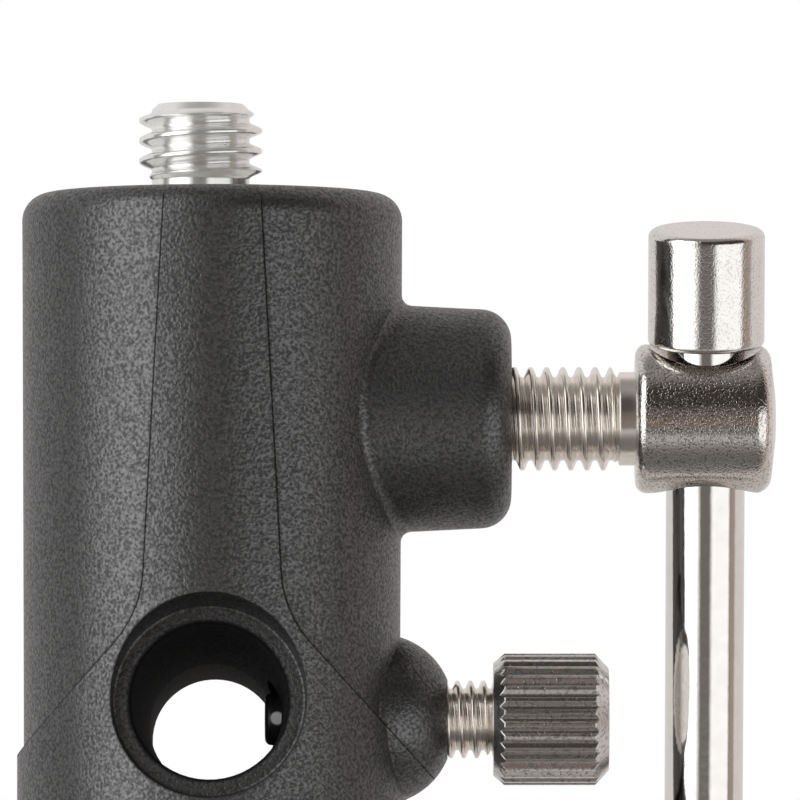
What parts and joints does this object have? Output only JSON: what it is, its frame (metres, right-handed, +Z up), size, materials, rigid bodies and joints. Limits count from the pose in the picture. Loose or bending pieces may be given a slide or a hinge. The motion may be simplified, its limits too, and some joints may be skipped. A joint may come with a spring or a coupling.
{
  "type": "umbrella swivel bracket",
  "caption": "Swivel bracket that joins a light stand to a lamp spigot, with an angled umbrella socket, T-handle clamp screws and a ratchet tilt lever.",
  "frame": {"origin": "centre of the stand socket's mouth, at the bottom of the lower casting", "axes": "+Z up along both castings, +X towards the clamp screws, -Y towards the side where the umbrella shaft goes in"},
  "size_m": [0.0837, 0.0324, 0.1555],
  "materials": {
    "cast_black": "textured black powder coat on die-cast aluminium",
    "spigot_plate": "bright nickel plate on steel",
    "nickel": "nickel plate, slightly warm, a little brushed",
    "nickel_knurl": "nickel plate over a straight knurl",
    "brass": "turned",
    "steel": "zinc plated",
    "spring_steel": "drawn wire",
    "black_plastic": "moulded, fine grain",
    "friction_fibre": "pressed fibre",
    "lever_black": "satin black powder coat on die-cast zinc"
  },
  "bodies": {
    "base": {"lower_body": "cast_black", "friction_disc": "friction_fibre", "pivot_bolt": "steel", "pivot_bolt_cap": "black_plastic"},
    "head": {"upper_body": "cast_black"},
    "spigot": {"reversible_spigot": "spigot_plate"},
    "upper_pad": {"upper_clamp_pad": "brass"},
    "upper_screw": {"upper_clamp_stud": "nickel", "upper_clamp_head": "nickel"},
    "upper_bar": {"upper_t_bar_rod": "nickel", "upper_t_bar_top_knob": "nickel", "upper_t_bar_bottom_knob": "nickel"},
    "umbrella_tip": {"umbrella_screw_tip": "steel"},
    "umbrella_screw": {"umbrella_screw_stud": "nickel", "umbrella_screw_knob": "nickel_knurl"},
    "lower_pad": {"lower_clamp_pad": "brass"},
    "lower_screw": {"lower_clamp_stud": "nickel", "lower_clamp_head": "nickel"},
    "lower_bar": {"lower_t_bar_rod": "nickel", "lower_t_bar_top_knob": "nickel", "lower_t_bar_bottom_knob": "nickel"},
    "lever_seat": {"lever_washer": "steel"},
    "lever_core": {"lever_insert": "steel", "lever_screw": "steel", "lever_spring": "spring_steel"},
    "lever_grip": {"lever_handle": "lever_black"}
  },
  "joints": [
    {"name": "tilt", "type": "hinge", "parent": "base", "child": "head", "pos_m": [0, 0, 0.0553], "axis": [1, 0, 0], "range_deg": [-90, 90]},
    {"name": "spigot_lift", "type": "slide", "parent": "head", "child": "spigot", "axis": [0, 0, 1], "range_m": [0, 0.04]},
    {"name": "upper_screw_advance", "type": "slide", "parent": "head", "child": "upper_pad", "axis": [1, 0, 0], "range_m": [0, 0.005]},
    {"name": "upper_screw_turn", "type": "hinge", "parent": "upper_pad", "child": "upper_screw", "pos_m": [0, 0, 0.10658], "axis": [1, 0, 0], "range_deg": [0, 1445]},
    {"name": "upper_bar_slide", "type": "slide", "parent": "upper_screw", "child": "upper_bar", "axis": [0, -0.225, 0.9744], "range_m": [0, 0.0268]},
    {"name": "umbrella_screw_advance", "type": "slide", "parent": "head", "child": "umbrella_tip", "axis": [1, 0, 0], "range_m": [-0.003, 0.003]},
    {"name": "umbrella_screw_turn", "type": "hinge", "parent": "umbrella_tip", "child": "umbrella_screw", "pos_m": [0, 0, 0.08333], "axis": [1, 0, 0], "range_deg": [-1085, 1085]},
    {"name": "lower_screw_advance", "type": "slide", "parent": "base", "child": "lower_pad", "axis": [1, 0, 0], "range_m": [-0.00375, 0.005]},
    {"name": "lower_screw_turn", "type": "hinge", "parent": "lower_pad", "child": "lower_screw", "pos_m": [0, 0, 0.01742], "axis": [1, 0, 0], "range_deg": [-1085, 1445]},
    {"name": "lower_bar_slide", "type": "slide", "parent": "lower_screw", "child": "lower_bar", "axis": [0, -0.0698, 0.9976], "range_m": [0, 0.0268]},
    {"name": "lever_advance", "type": "slide", "parent": "base", "child": "lever_seat", "axis": [-1, 0, 0], "range_m": [0, 0.00375]},
    {"name": "lever_turn", "type": "hinge", "parent": "lever_seat", "child": "lever_core", "pos_m": [0, 0, 0.0553], "axis": [-1, 0, 0], "range_deg": [0, 1085]},
    {"name": "lever_lift", "type": "slide", "parent": "lever_core", "child": "lever_grip", "axis": [-1, 0, 0], "range_m": [0, 0.004], "stiffness_N_per_m": 1000, "springref_m": -0.003, "deforming": ["lever_spring"]}
  ],
  "couplings": [
    {"joint": "upper_screw_turn", "follows": "upper_screw_advance", "rad_per_m": 5026.5},
    {"joint": "umbrella_screw_turn", "follows": "umbrella_screw_advance", "rad_per_m": 6283.2},
    {"joint": "lower_screw_turn", "follows": "lower_screw_advance", "rad_per_m": 5026.5},
    {"joint": "lever_turn", "follows": "lever_advance", "rad_per_m": 5026.5}
  ]
}
